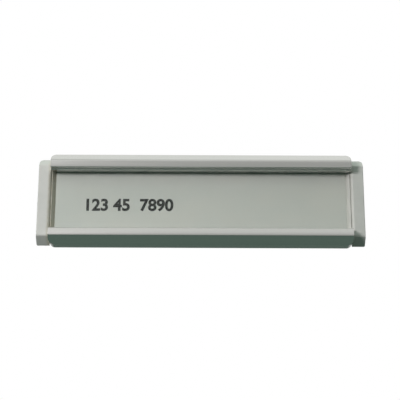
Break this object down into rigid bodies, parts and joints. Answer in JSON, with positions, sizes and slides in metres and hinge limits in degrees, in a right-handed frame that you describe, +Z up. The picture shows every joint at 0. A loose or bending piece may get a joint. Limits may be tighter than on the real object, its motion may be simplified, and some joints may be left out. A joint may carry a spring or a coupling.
{
  "type": "nameplate holder",
  "caption": "Slim wall-mounted nameplate holder: an extruded channel with bevelled rails and moulded end caps holds a name card under a clear strip.",
  "frame": {"origin": "centre of the flat back, where it meets the wall", "axes": "+X along the holder towards its right end, +Y into the wall behind the back, +Z up; the card faces -Y"},
  "size_m": [0.1122, 0.0069, 0.032],
  "materials": {
    "rail_metal": "satin silver anodised",
    "cap_plastic": "light grey, slightly mottled",
    "strip_clear": "clear plastic with polished faces",
    "card": "matt silver-grey, printed with plain numbers"
  },
  "bodies": {
    "root": {"channel": "rail_metal", "end_cap_left": "cap_plastic", "end_cap_right": "cap_plastic", "clear_strip": "strip_clear", "name_card": "card"}
  },
  "joints": []
}
